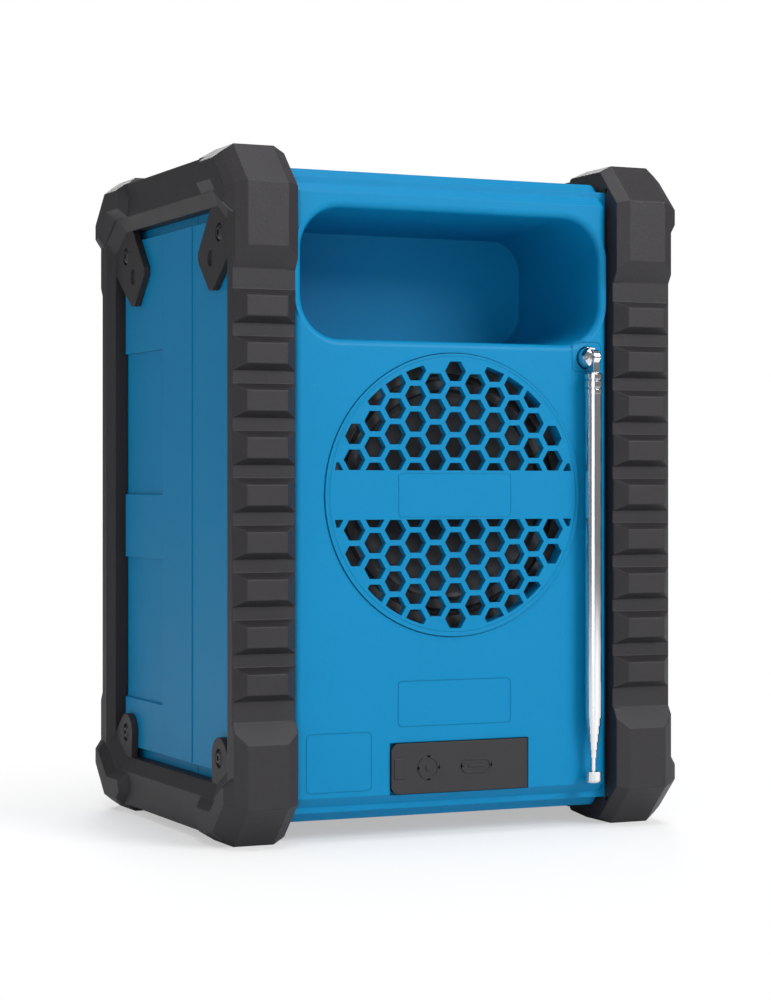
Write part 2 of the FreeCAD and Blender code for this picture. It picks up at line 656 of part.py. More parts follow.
# Bumper frames: a ring with a window, corner blocks, ribs, armour pads and lugs
def ring_wire(x, points):
    spots = [Vector(float(x), float(y), float(z)) for y, z in points]
    return Part.makePolygon(spots + spots[:1])


def ruled(*wires):
    return Part.makeLoft(list(wires), True, True)


def corner_points(points, level, upright):
    """Turn (in from the face, down from the top) into (y, z) for one of the four corners."""
    half_y, half_z, mid = float(block_y), float(d.overall_height) / 2, float(middle)
    return [(level * (half_y - u), mid + upright * (half_z - w)) for u, w in points]


def ring_outline(drop):
    half_y = float(block_y - d.post_sink) - drop
    half_z = float(d.overall_height / 2 - d.rail_sink) - drop
    slant = float(d.block_corner - d.post_sink) + 3.0
    mid = float(middle)
    return [(half_y, mid - half_z + slant), (half_y, mid + half_z - slant), (half_y - slant, mid + half_z),
            (slant - half_y, mid + half_z), (-half_y, mid + half_z - slant), (-half_y, mid - half_z + slant),
            (slant - half_y, mid - half_z), (half_y - slant, mid - half_z)]


def window_outline(grow_y, grow_z):
    post, rail = float(d.window_post) - grow_y, float(d.window_rail) - grow_z
    along, down = float(d.window_corner_along), float(d.window_corner_down)
    points = []
    for level, upright in ((1, -1), (1, 1), (-1, 1), (-1, -1)):
        pair = corner_points([(post, rail + down), (post + along, rail)], level, upright)
        points += pair if level * upright > 0 else pair[::-1]
    return points


def block_section(inset):
    """Corner block outline, drawn in by an inset all along its outer side."""
    foot, face, corner = float(d.block_foot), float(d.block_face), float(d.block_corner)
    sink, rail, reach, run = float(d.post_sink), float(d.rail_sink), float(d.block_reach), float(d.block_run)
    climb = (foot - face) / sink
    bend = corner + inset * (math.sqrt(2) - 1)
    return [(sink, foot), (inset, foot - (sink - inset) * climb), (inset, bend), (bend, inset),
            (reach + run * inset / rail, inset), (reach + run, rail), (reach + run, 9.0), (9.0, 9.0), (9.0, foot)]


def armour_section(inset, spread):
    """Armour pad outline at one level; spread widens it towards its foot."""
    corner = float(d.block_corner)
    bend = corner + inset * (math.sqrt(2) - 1)
    down, along = float(d.armour_down), float(d.armour_along)
    arm, knee = float(d.armour_arm), float(d.armour_knee)
    return [(inset, down + spread), (inset, bend), (bend, inset), (along - 4.0 + spread * 0.6, inset),
            (along + spread, arm - 4.5), (along - 1.5 + spread, arm + spread),
            (knee + spread * 0.4, arm + spread), (inset + 3.0 + spread * 0.3, down - 0.5 + spread)]


def upper_lug(inset=0.0):
    tip, foot, half = float(d.lug_reach), float(d.lug_drop), float(d.lug_width)
    x0, y0 = float(d.window_post), float(d.window_rail)
    return [(x0 - 2, y0 - 2), (x0 + 19.0, y0 - 2), (tip, foot - 14.0), (tip, foot - 11.0), (tip - half, foot),
            (tip - half - 3.5, foot), (x0 - 2, foot - 15.0)]


def bumper_shape():
    inner, outer = float(d.post_inner), float(d.post_outer)
    drop, facet = float(d.edge_drop), float(d.edge_facet)
    ring = ruled(ring_wire(inner, ring_outline(drop)), ring_wire(inner + facet, ring_outline(0.0)))
    ring = ring.fuse(ruled(ring_wire(inner + facet, ring_outline(0.0)), ring_wire(outer, ring_outline(0.0))))
    pieces = []
    levels = [(inner, float(d.block_inner_bevel)), (float(d.block_face_inner), 0.0),
              (float(d.block_face_outer), 0.0), (outer, float(d.block_outer_bevel))]
    corners = [(level, upright) for level in (1, -1) for upright in (1, -1)]
    for level, upright in corners:
        wires = [ring_wire(x, corner_points(block_section(inset), level, upright)) for x, inset in levels]
        pieces += [ruled(a, b) for a, b in zip(wires, wires[1:])]
    post = float(block_y - d.post_sink)
    half_foot, half_crest = float(d.rib_foot / 2), float(d.rib_crest / 2)
    count = int(round(float(d.rib_count)))
    for i in range(count):
        mid = float(middle) + (i - (count - 1) / 2) * float(d.rib_pitch)
        for level in (1, -1):
            foot = [(inner, mid - half_foot), (outer, mid - half_foot), (outer, mid + half_foot),
                    (inner, mid + half_foot)]
            crest = [(float(d.block_face_inner), mid - half_crest), (float(d.block_face_outer), mid - half_crest),
                     (float(d.block_face_outer), mid + half_crest), (float(d.block_face_inner), mid + half_crest)]
            wires = []
            for points, proud in ((foot, -drop), (foot, 0.0), (crest, float(d.rib_proud))):
                spots = [Vector(x, level * (post + proud), z) for x, z in points]
                wires.append(Part.makePolygon(spots + spots[:1]))
            pieces += [ruled(wires[0], wires[1]), ruled(wires[1], wires[2])]
    body = ring.multiFuse(pieces)
    fit = float(d.frame_fit)
    pocket = Part.makeBox(2 * float(core_x) + 2 * fit, 2 * (float(core_y) + fit), float(core_top - core_bottom) + 2 * fit,
                          Vector(-float(core_x) - fit, -float(core_y) - fit, float(core_bottom) - fit))
    face = float(lug_face)
    bevel_y, bevel_z = float(d.window_bevel), float(d.window_bevel_level)
    window = ruled(ring_wire(inner - 1, window_outline(0, 0)), ring_wire(face, window_outline(0, 0)))
    bevel = ruled(ring_wire(face, window_outline(0, 0)), ring_wire(outer, window_outline(bevel_y, bevel_z)))
    proud = ruled(ring_wire(outer, window_outline(bevel_y, bevel_z)),
                  ring_wire(outer + 1, window_outline(bevel_y, bevel_z)))
    body = body.cut([pocket, window, bevel, proud])
    extras = []
    armour = float(d.armour_outer)
    under = float(d.body_width) / 2
    for level, upright in corners:
        foot = corner_points(armour_section(float(d.block_outer_bevel), float(d.armour_slope)), level, upright)
        crest = corner_points(armour_section(float(d.armour_inset), 0.0), level, upright)
        extras.append(ruled(ring_wire(outer, foot), ring_wire(armour, crest)))
        if upright > 0:
            plate = corner_points(upper_lug(), level, upright)
            extras.append(ruled(ring_wire(under, plate), ring_wire(face, plate)))
        else:
            y, z = level * float(lug_y), float(lug_tops[0])
            round_lug = Part.makeCylinder(float(d.lug_round), face - under, Vector(under, y, z), RIGHT)
            post_in, rail = float(d.window_post), float(d.window_rail)
            web = corner_points([(post_in - 2, rail - 2), (float(d.lug_screw_in) + 6.5, rail - 2),
                                 (float(d.lug_screw_in + d.lug_round) - 0.2, float(d.lug_screw_down) - 1.5),
                                 (float(d.lug_screw_in) - 4.5, float(d.lug_screw_down) + 5.6),
                                 (post_in - 2, rail + 6.0)], level, upright)
            extras += [round_lug, ruled(ring_wire(under, web), ring_wire(face, web))]
    body = body.multiFuse(extras)
    holes = []
    for level in (1, -1):
        for z in lug_tops:
            y = level * float(lug_y)
            holes.append(Part.makeCylinder(float(d.screw_radius) + 0.2, 20, Vector(under - 5, y, float(z)), RIGHT))
            holes.append(Part.makeCylinder(float(d.screw_head_radius + d.head_fit), 20,
                                           Vector(face - 1.2, y, float(z)), RIGHT))
        offset = float(d.dimple_offset)
        holes.append(Part.makeCylinder(float(d.dimple_radius), 20, Vector(face - 0.8, level * (float(lug_y) - offset),
                                                                          float(lug_tops[1]) - offset), RIGHT))
    return body.cut(holes).removeSplitter()


right_bumper = node("right_bumper", solid("right_bumper", bumper_shape()))
left_bumper = add("Part::Mirroring", "left_bumper")
left_bumper.Source = right_bumper
left_bumper.Normal = RIGHT
node("left_bumper", left_bumper)


# Screws: a button head with a hexagon socket, as turned pieces with the socket cut in
def screw(x, y, z, axis, length):
    """A screw whose head's underside is at the place, pointing along the axis."""
    head = d.screw_head_radius
    tall = d.screw_head_height
    body = turned([(0.0 * head, -tall), (head * 0.6, -tall), (head, -tall * 0.45), (head, 0.0 * head),
                   (d.screw_radius, 0.0 * head), (d.screw_radius, length - 0.6), (d.screw_radius - 0.6, length),
                   (0.0 * head, length)], x, y, z, axis)
    hexagon = add("Part::Prism", "Socket")
    hexagon.Polygon = 6
    bind(hexagon, "Circumradius", d.screw_socket * 1.15)
    bind(hexagon, "Height", tall)
    back = Vector(-axis.x, -axis.y, -axis.z)
    shift = 0.45 * d.screw_head_height
    place(hexagon, x + back.x * shift, y + back.y * shift, z, axis_turn(back))
    return cut(body, hexagon)


screw_seat = lug_face - 1.2
node("bumper_screws", fuse(*[screw(hand * screw_seat, level * lug_y, z, LEFT if hand > 0 else RIGHT, d.screw_length)
                             for hand in (1, -1) for level in (1, -1) for z in lug_tops]))
node("shell_screws", fuse(*[screw(x, screw_head_y, z, IN, d.shell_screw_length + screw_head_y - d.seam_place - 6.0)
                            for x, z in shell_screw_places()]))


# Rear grille: hexagonal cells in columns, clipped by a circle and by the bar
def grille_shape():
    face = float(rear + d.grille_proud)
    thick = float(d.grille_thick)
    mid = float(grille_z)
    disc = Part.makeCylinder(float(d.grille_radius), thick, Vector(0, face, mid), IN)
    field = Part.makeCylinder(float(d.grille_open_radius), thick + 2, Vector(0, face + 1, mid), IN)
    wide = 2 * float(d.grille_radius)
    half_bar = float(d.grille_bar) / 2
    bar = Part.makeBox(wide, thick + 4, 2 * half_bar, Vector(-wide / 2, face - thick - 2, mid - half_bar))
    field = field.cut(bar)
    pitch = float(d.cell_pitch)
    column = pitch * math.sqrt(3) / 2
    point = float(d.cell_flat) / math.sqrt(3)
    columns = int(float(d.grille_open_radius) / column)
    cells = []
    for i in range(-columns, columns + 1):
        offset = 0.0 if i % 2 else pitch / 2
        for j in range(-1, int(float(d.grille_open_radius) / pitch) + 1):
            z = half_bar + float(d.bar_to_cell) + offset + j * pitch
            if math.hypot(i * column, z) > float(d.grille_open_radius) + 0.5:
                continue
            for upright in (1, -1):
                spots = [Vector(i * column + point * math.cos(math.radians(a)), face + 1,
                                mid + upright * z + point * math.sin(math.radians(a))) for a in range(0, 361, 60)]
                cells.append(Part.Face(Part.makePolygon(spots)).extrude(Vector(0, -thick - 2, 0)))
    holes = field.common(Part.makeCompound(cells))
    # Slivers that the circle leaves of a cell would not be moulded.
    kept = [piece for piece in holes.Solids if piece.Volume > 2.0 * thick]
    return disc.cut(Part.makeCompound(kept))


node("rear_grille", solid("rear_grille", grille_shape()))

# Front grille: a slotted disc
slots = []
slot_count = int(float(d.grille_open_radius) / float(d.front_slot_pitch))
for i in range(-slot_count, slot_count + 1):
    z = speaker_z + i * d.front_slot_pitch
    slots.append(box(-d.grille_radius, d.grille_radius, front - d.grille_proud - 1.0, front + d.grille_thick + 1.0,
                     z - d.front_slot / 2, z + d.front_slot / 2))
open_field = cut(rod(d.grille_open_radius - 2.0, d.grille_thick + 2.0, 0, front - d.grille_proud - 1.0,
                     speaker_z, OUT),
                 *[box(x - d.front_rib / 2, x + d.front_rib / 2, front - 3.0, front + 2 * d.grille_thick,
                       speaker_z - d.grille_radius, speaker_z + d.grille_radius)
                   for x in (-d.grille_open_radius / 3, d.grille_open_radius / 3)])
front_disc = rod(d.grille_radius, d.grille_thick, 0, front - d.grille_proud, speaker_z, OUT)
node("front_grille", cut(front_disc, common(fuse(*slots), open_field)))

# Passive radiator: frame, rubber surround, dished cone and its weight
seat_y = rear - seat_depth - d.seat_wall
zero = 0.0 * d.cone_edge
radiator_at = (0, seat_y, grille_z, IN)
node("radiator_frame", turned([
    (d.radiator_opening, zero), (d.radiator_radius, zero), (d.radiator_radius, d.radiator_flange),
    (d.radiator_opening + 3.0, d.radiator_flange), (d.radiator_opening + 1.5, d.radiator_depth),
    (d.radiator_opening, d.radiator_depth)], *radiator_at))


def surround(inner, outer):
    """Half roll of rubber between a cone's edge and a frame's lip, as (radius, height) corners."""
    mid = (inner + outer) / 2
    high = d.roll_height
    skin = d.rubber_thick
    return [(inner, zero), (inner + 1.5, -0.3 * high), (mid - 1.5, -high), (mid + 1.5, -high),
            (outer - 1.5, -0.3 * high), (outer, zero), (outer, skin), (outer - 1.5, skin - 0.3 * high),
            (mid + 1.5, skin - high), (mid - 1.5, skin - high), (inner + 1.5, skin - 0.3 * high), (inner, skin)]


node("radiator_surround", turned(surround(d.cone_edge, d.radiator_opening), 0, seat_y - d.roll_height,
                                 grille_z, IN))
cone_face = seat_y - d.roll_height
node("radiator_cone", turned([
    (zero, d.radiator_dish), (d.weight_radius, d.radiator_dish), (d.cone_edge, zero),
    (d.cone_edge, d.cone_thick), (d.weight_radius, d.radiator_dish + d.cone_thick),
    (zero, d.radiator_dish + d.cone_thick)], 0, cone_face, grille_z, IN))
node("radiator_weight", rod(d.weight_radius, d.weight_thick, 0, cone_face - d.radiator_dish - d.cone_thick,
                            grille_z, IN))

# Speaker: pressed basket, magnet, surround, cone and dust cap
speaker_seat = front + front_seat + d.seat_wall
speaker_at = (0, speaker_seat, speaker_z, OUT)
basket = turned([
    (d.radiator_opening, zero), (d.radiator_radius, zero), (d.radiator_radius, d.basket_wall),
    (d.radiator_opening + 1.5, d.basket_wall), (d.radiator_opening + 1.5, d.basket_rim + 0.5),
    (d.basket_back + d.basket_wall, d.basket_depth),
    (d.pole_radius + 1.0, d.basket_depth), (d.pole_radius + 1.0, d.basket_depth - d.basket_wall),
    (d.basket_back, d.basket_depth - d.basket_wall), (d.radiator_opening, d.basket_rim)], *speaker_at)
vents = [rod(d.basket_back / 3, 3 * d.radiator_radius, -1.5 * d.radiator_radius, speaker_seat + d.basket_depth / 2,
             speaker_z, RIGHT), rod(d.basket_back / 3, 3 * d.radiator_radius, 0,
             speaker_seat + d.basket_depth / 2, speaker_z - 1.5 * d.radiator_radius, UP)]
node("speaker_basket", cut(basket, *vents))
magnet_y = speaker_seat + d.basket_depth
node("speaker_magnet", turned([(zero, d.magnet_thick), (zero, 3.0 + zero), (d.pole_radius - 3.0, 3.0 + zero),
                               (d.pole_radius - 3.0, zero), (d.magnet_radius, zero), (d.magnet_radius, d.magnet_thick)],
                              0, magnet_y, speaker_z, OUT))
node("speaker_surround", turned(surround(d.cone_edge, d.radiator_opening), 0, speaker_seat + d.roll_height,
                                speaker_z, OUT))
speaker_face = speaker_seat + d.roll_height
node("speaker_cone", turned([
    (d.pole_radius - 1.0, d.cone_depth), (d.pole_radius, d.cone_depth), (d.cone_edge, zero),
    (d.cone_edge, d.cone_thick), (d.pole_radius, d.cone_depth + d.cone_thick),
    (d.pole_radius, d.basket_depth - 1.8 * d.roll_height), (d.pole_radius - 1.0, d.basket_depth - 1.8 * d.roll_height)],
    0, speaker_face, speaker_z, OUT))
node("speaker_dust_cap", turned([
    (zero, d.cone_depth - d.dust_cap_rise), (d.pole_radius * 0.5, d.cone_depth - 0.7 * d.dust_cap_rise),
    (d.pole_radius - 1.0, d.cone_depth), (zero, d.cone_depth)], 0, speaker_face, speaker_z, OUT))

# Control panel and what it carries
panel_face = panel_back - d.panel_thick
board_y = panel_back + d.board_gap
panel_plate = rounded_block(zero, panel_z, d.panel_width, d.panel_tall, d.panel_corner, panel_face, panel_back)
lens_z = panel_z + d.lens_rise
lens_well = box(d.lens_place - d.lens_width / 2 - d.button_fit, d.lens_place + d.lens_width / 2 + d.button_fit,
                panel_face - 1.0, panel_face + d.lens_thick, lens_z - d.lens_height / 2 - d.button_fit,
                lens_z + d.lens_height / 2 + d.button_fit)
lens_hole = box(d.lens_place - d.lens_width / 2 + d.lens_ledge, d.lens_place + d.lens_width / 2 - d.lens_ledge,
                panel_face - 1.0, panel_back + 1.0, lens_z - d.lens_height / 2 + d.lens_ledge,
                lens_z + d.lens_height / 2 - d.lens_ledge)
knob_z = panel_z + d.knob_rise
bush_hole = rod(d.bush_radius + d.button_fit, 3 * d.panel_thick, d.knob_place, panel_face - 1.0, knob_z, OUT)
BUTTONS = ["power_button", "source_button", "menu_button", "scan_button", "preset_button", "play_button"]
button_z = panel_z - d.button_drop
button_x = [(i - (len(BUTTONS) - 1) / 2) * d.button_pitch for i in range(len(BUTTONS))]
button_holes = [rounded_block(x, button_z, d.button_width + 2 * d.button_fit, d.button_height + 2 * d.button_fit,
                              1.5 + zero, panel_face - 1.0, panel_back + 1.0) for x in button_x]
board_half_x = d.panel_width / 2 - d.board_margin - d.panel_seat
board_half_z = d.panel_tall / 2 - d.board_margin - d.panel_seat
stands = [rod(d.stand_radius, d.board_gap, sx * (board_half_x - d.stand_radius), panel_back,
              stand_z, OUT) for sx in (-1, 1) for stand_z in (
                  panel_z + board_half_z - d.stand_radius,
                  panel_z - board_half_z + d.stand_radius + d.stand_rise)]
node("control_panel", cut(fuse(panel_plate, *stands), lens_well, lens_hole, bush_hole, *button_holes))
node("display_lens", box(d.lens_place - d.lens_width / 2, d.lens_place + d.lens_width / 2, panel_face,
                         panel_face + d.lens_thick, lens_z - d.lens_height / 2, lens_z + d.lens_height / 2))
node("main_board", box(-board_half_x, board_half_x, board_y, board_y + d.board_thick,
                       panel_z - board_half_z, panel_z + board_half_z))
display_half = d.lens_width / 2 - d.lens_ledge - d.stand_radius
node("display_module", box(d.lens_place - display_half, d.lens_place + display_half, panel_back + 0.3, board_y,
                           lens_z - d.lens_height / 2 + d.lens_ledge, lens_z + d.lens_height / 2 - d.lens_ledge - 4.0))
switch_y = board_y - d.switch_height
for label, x in zip(BUTTONS, button_x):
    cap = rounded_block(x, button_z, d.button_width, d.button_height, 1.3 + zero,
                        panel_face - d.button_proud, panel_back + 0.3)
    flange = box(x - d.button_width / 2 - d.button_flange, x + d.button_width / 2 + d.button_flange, panel_back + 0.3,
                 panel_back + 0.3 + d.button_flange, button_z - d.button_height / 2 - d.button_flange,
                 button_z + d.button_height / 2 + d.button_flange)
    stem = box(x - d.switch_width / 2, x + d.switch_width / 2, panel_back + 0.3,
               switch_y - d.button_travel - 0.1, button_z - d.switch_width / 2, button_z + d.switch_width / 2)
    node(label, fuse(cap, flange, stem))
node("key_switches", fuse(*[box(x - d.switch_width / 2, x + d.switch_width / 2, switch_y, board_y,
                                button_z - d.switch_width / 2, button_z + d.switch_width / 2) for x in button_x]))
encoder_body = box(d.knob_place - d.encoder_width / 2, d.knob_place + d.encoder_width / 2, panel_back + 4.0, board_y,
                   knob_z - d.encoder_width / 2, knob_z + d.encoder_width / 2)
bush = rod(d.bush_radius, d.panel_thick + 4.0 - 0.4, d.knob_place, panel_face + 0.4, knob_z, OUT)
shaft_bore = rod(d.shaft_radius + d.run_fit, board_y - panel_face, d.knob_place, panel_face - 1.0, knob_z, OUT)
node("volume_encoder", cut(fuse(encoder_body, bush), shaft_bore))
knob_back = panel_face - d.knob_gap
knob_at = (d.knob_place, knob_back - d.knob_height, knob_z, OUT)
shaft_start = knob_back - d.knob_bore_depth
node("encoder_shaft", rod(d.shaft_radius, board_y - 3.0 - shaft_start, d.knob_place, shaft_start, knob_z, OUT))
knob_blank = turned([(zero, zero), (d.knob_radius - 1.6, zero), (d.knob_radius - 0.4, 1.2 + zero),
                     (d.knob_radius, d.knob_height), (d.shaft_radius, d.knob_height),
                     (d.shaft_radius, d.knob_height - d.knob_bore_depth),
                     (zero, d.knob_height - d.knob_bore_depth)], *knob_at)
groove_count = int(round(float(d.knob_grooves)))
grooves = []
for i in range(groove_count):
    angle = 2 * math.pi * i / groove_count
    grooves.append(rod(0.9 + zero, d.knob_height + 1.0,
                       d.knob_place + (d.knob_radius + 0.3) * math.cos(angle), knob_back - d.knob_height + 1.6,
                       knob_z + (d.knob_radius + 0.3) * math.sin(angle), OUT))
node("volume_knob", cut(knob_blank, *grooves))

# Battery tray on the floor of the shells, with two cells joined by strips
floor = bottom + d.shell_wall
tray_x = d.cell_length / 2 + d.tray_gap + d.strip_thick
tray_y = 2 * d.cell_radius + 1.5 * d.tray_gap
tray_out = box(-tray_x - d.tray_wall, tray_x + d.tray_wall, d.tray_place - tray_y - d.tray_wall,
               d.tray_place + tray_y + d.tray_wall, floor, floor + d.tray_wall + d.cell_radius)
tray_in = box(-tray_x, tray_x, d.tray_place - tray_y, d.tray_place + tray_y, floor + d.tray_wall,
              floor + d.tray_wall + 2 * d.cell_radius)
node("battery_tray", cut(tray_out, tray_in))
cell_z = floor + d.tray_wall + d.cell_radius
cell_y = (d.tray_place - d.cell_radius - d.tray_gap / 2, d.tray_place + d.cell_radius + d.tray_gap / 2)
node("battery_cells", fuse(*[rod(d.cell_radius, d.cell_length, -d.cell_length / 2, y, cell_z, RIGHT) for y in cell_y]))
strip_half = d.cell_radius + d.cell_radius / 2
node("battery_strips", fuse(*[box(x, x + d.strip_thick, d.tray_place - strip_half, d.tray_place + strip_half,
                                  cell_z - 3.0, cell_z + 3.0)
                              for x in (-d.cell_length / 2 - d.strip_thick, d.cell_length / 2)]))

# Ports: board, jack, charging socket, reset button and its switch
port_half = stand_x + d.stand_radius
node("port_board", box(d.flap_place - port_half, d.flap_place + port_half, port_board_y - d.board_thick, port_board_y,
                       flap_z - d.flap_height / 2, flap_z + d.flap_height / 2))
jack = fuse(box(d.jack_place - d.jack_width / 2, d.jack_place + d.jack_width / 2, port_board_y, port_back - 0.3,
                flap_z - d.jack_height / 2, flap_z + d.jack_height / 2),
            rod(d.jack_nose, port_face - port_board_y - 2.0, d.jack_place, port_face, flap_z, IN))
node("aux_jack", cut(jack, rod(d.jack_bore, d.jack_depth, d.jack_place, port_face, flap_z, IN)))


def socket_block(inset, y0, y1):
    return box(d.socket_place - d.socket_width / 2 + inset, d.socket_place + d.socket_width / 2 - inset, y0, y1,
               flap_z - d.socket_height / 2 + inset, flap_z + d.socket_height / 2 - inset)


socket_tongue = box(d.socket_place - d.socket_width / 4, d.socket_place + d.socket_width / 4,
                    port_board_y + 1.0, port_face - 1.0, flap_z - 0.35, flap_z + 0.35)
node("charging_socket", fuse(cut(socket_block(zero, port_board_y, port_face - 0.2),
                                 socket_block(d.socket_wall, port_board_y + 1.0, port_face + 1.0)), socket_tongue))
reset_y = port_board_y + 4.0
node("reset_switch", box(d.reset_place - 2.0, d.reset_place + 2.0, port_board_y, reset_y,
                         flap_z - 2.0, flap_z + 2.0))
node("reset_button", fuse(rod(d.reset_radius, port_face - 0.4 - reset_y - d.reset_travel - 0.1, d.reset_place,
                              port_face - 0.4, flap_z, IN),
                          rod(d.reset_radius + 0.7, 1.2 + zero, d.reset_place, port_back - 0.3,
                              flap_z, IN)))

# Port flap: a rubber lid whose barrel end lies in the recess
flap_low = port_face + 0.05
flap_high = flap_low + d.flap_thick
barrel = d.flap_thick / 2
hinge_x = d.flap_place - d.flap_width / 2 + barrel
hinge_y = flap_low + barrel
flap_plate = box(hinge_x, d.flap_place + d.flap_width / 2, flap_low, flap_high,
                 flap_z - d.flap_height / 2, flap_z + d.flap_height / 2)
flap_plate = rounded(flap_plate, d.flap_corner, lambda c, e: near(e.Length, d.flap_thick) and c.x > float(d.flap_place))
flap_barrel = rod(barrel, d.flap_height, hinge_x, hinge_y, flap_z - d.flap_height / 2, UP)
tab = box(d.flap_place + d.flap_width / 2 - d.flap_tab, d.flap_place + d.flap_width / 2 - 1.0, flap_high - 0.1,
          flap_high + 0.3, flap_z - 3.5, flap_z + 3.5)
node("port_flap", fuse(flap_plate, flap_barrel, tab))

# Antenna: bracket, turret, pin, ferrule with its tang, nested tubes, rod and cap
stem_end = bracket_y - d.bracket_thick - 1.0
bracket = box(d.antenna_place - d.bracket_size / 2, d.antenna_place + d.bracket_size / 4, bracket_y - d.bracket_thick,
              bracket_y, pivot_z - d.bracket_size / 2, pivot_z + d.turret_stem + 0.6)
node("antenna_bracket", cut(bracket, rod(d.turret_stem + d.run_fit, 3 * d.bracket_thick, d.antenna_place,
                                         bracket_y + 1.0, pivot_z, IN)))
turret_foot = rear - d.turret_sink
antenna_y = rear + d.antenna_proud
head = d.turret_rise + d.turret_sink
turret = turned([
    (zero, head), (d.turret_radius * 0.55, head - 0.5), (d.turret_radius * 0.85, head - 1.9),
    (d.turret_radius, head - 3.6), (d.turret_radius, zero), (d.turret_stem, zero),
    (d.turret_stem, stem_end - turret_foot),
    (zero, stem_end - turret_foot)],
    d.antenna_place, turret_foot, pivot_z, OUT)
slot_low = antenna_y - d.tang_radius - 0.3
slot_half = d.tang_thick / 2 + 0.1
turret_slot = box(d.antenna_place - slot_half, d.antenna_place + slot_half, slot_low, rear + 2 * d.turret_rise,
                  pivot_z - 2 * d.turret_radius, pivot_z + 2 * d.turret_radius)
pin_reach = d.turret_radius * 0.62
pin_hole = rod(d.pin_radius, 4 * pin_reach, d.antenna_place - 2 * pin_reach, antenna_y, pivot_z, RIGHT)
node("antenna_turret", cut(turret, turret_slot, pin_hole))
node("antenna_pin", rod(d.pin_radius, 2 * pin_reach, d.antenna_place - pin_reach, antenna_y, pivot_z, RIGHT))
DOWN = Vector(0, 0, -1)
ferrule_top = pivot_z - d.tang_length
groove = d.ferrule_groove
edge = d.ferrule_radius
ferrule_points = [(zero, zero), (edge - 0.5, zero), (edge, 0.5 + zero)]
for share in (0.35, 0.75):
    spot = share * d.ferrule_length
    ferrule_points += [(edge, spot - groove), (edge - groove, spot), (edge, spot + groove)]
ferrule_points += [(edge, d.ferrule_length), (zero, d.ferrule_length)]
ferrule = turned(ferrule_points, d.antenna_place, antenna_y, ferrule_top, DOWN)
tang = fuse(rod(d.tang_radius, d.tang_thick, d.antenna_place - d.tang_thick / 2, antenna_y, pivot_z, RIGHT),
            box(d.antenna_place - d.tang_thick / 2, d.antenna_place + d.tang_thick / 2, antenna_y - d.tang_radius * 0.8,
                antenna_y + d.tang_radius * 0.8, ferrule_top - 0.5, pivot_z))
tang_bore = rod(d.pin_radius + d.run_fit, 3 * d.tang_thick, d.antenna_place - 1.5 * d.tang_thick, antenna_y,
                pivot_z, RIGHT)
tube_top = ferrule_top - d.ferrule_length
node("antenna_ferrule", cut(fuse(ferrule, tang), tang_bore))
tubes = int(round(float(d.tube_count)))
step = d.tube_wall + d.run_fit
radius = d.tube_radius
for i in range(tubes):
    start = tube_top - 0.3 * i
    length = d.tube_length + i * d.tube_step - 0.3 * i
    points = [(radius - d.tube_wall, zero), (radius, zero), (radius, length), (radius - d.tube_wall, length)]
    node("antenna_tube_%d" % (i + 1), turned(points, d.antenna_place, antenna_y, start, DOWN))
    radius = radius - step
rod_top = tube_top - 0.3 * tubes
rod_end = tube_top - d.tube_length - (tubes - 1) * d.tube_step - d.rod_length
node("antenna_rod", rod(radius, rod_top - rod_end, d.antenna_place, antenna_y, rod_top, DOWN))
node("antenna_cap", turned([(zero, zero), (d.cap_radius, zero), (d.cap_radius, d.cap_length - 0.6),
                            (d.cap_radius - 0.6, d.cap_length), (zero, d.cap_length)],
                           d.antenna_place, antenna_y, rod_end, DOWN))

doc.recompute()
for thing in doc.Objects:
    if "Invalid" in thing.State or "Error" in thing.State:
        raise RuntimeError("%s did not build: %s" % (thing.Label, thing.State))
for thing in NODES:
    if thing.Shape.isNull() or not thing.Shape.isValid() or not thing.Shape.Solids:
        raise RuntimeError("%s is not a valid solid" % thing.Label)

os.makedirs("parts", exist_ok=True)
for thing in NODES:
    thing.Shape.exportStep("parts/%s.step" % thing.Label)
    print("%-22s %2d solids  %9.1f mm3" % (thing.Label, len(thing.Shape.Solids), thing.Shape.Volume))
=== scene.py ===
# %% [markdown]
# # A jobsite radio
# The radio is two blue moulded shells between a pair of ribbed rubber bumper frames, seen from its back.
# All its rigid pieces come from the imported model. This script loads them, gives each one its finish,
# adds the small raised shapes and marks, and sets the light and the camera.

# %% Load the frame
import json
import math

import bpy
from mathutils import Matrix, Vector


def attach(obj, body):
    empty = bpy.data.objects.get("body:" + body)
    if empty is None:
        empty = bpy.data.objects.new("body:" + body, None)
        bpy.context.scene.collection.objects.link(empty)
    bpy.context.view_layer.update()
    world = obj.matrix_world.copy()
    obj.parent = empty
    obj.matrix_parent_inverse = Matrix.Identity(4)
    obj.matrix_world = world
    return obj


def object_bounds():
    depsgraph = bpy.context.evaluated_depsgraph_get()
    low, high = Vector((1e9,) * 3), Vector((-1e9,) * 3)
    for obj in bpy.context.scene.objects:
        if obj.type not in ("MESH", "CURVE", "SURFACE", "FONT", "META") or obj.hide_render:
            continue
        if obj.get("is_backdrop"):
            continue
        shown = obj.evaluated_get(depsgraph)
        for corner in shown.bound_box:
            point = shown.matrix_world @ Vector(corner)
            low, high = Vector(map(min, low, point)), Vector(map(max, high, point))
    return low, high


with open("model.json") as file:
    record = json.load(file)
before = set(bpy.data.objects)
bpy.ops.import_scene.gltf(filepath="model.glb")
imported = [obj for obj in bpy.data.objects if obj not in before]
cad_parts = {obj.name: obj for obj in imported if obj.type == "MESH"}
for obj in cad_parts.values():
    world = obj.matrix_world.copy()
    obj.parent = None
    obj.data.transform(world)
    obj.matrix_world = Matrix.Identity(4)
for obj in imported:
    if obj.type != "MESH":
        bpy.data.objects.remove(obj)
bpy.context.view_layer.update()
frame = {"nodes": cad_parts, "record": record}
nodes = frame["nodes"]
print("pieces from the frame:", len(nodes))

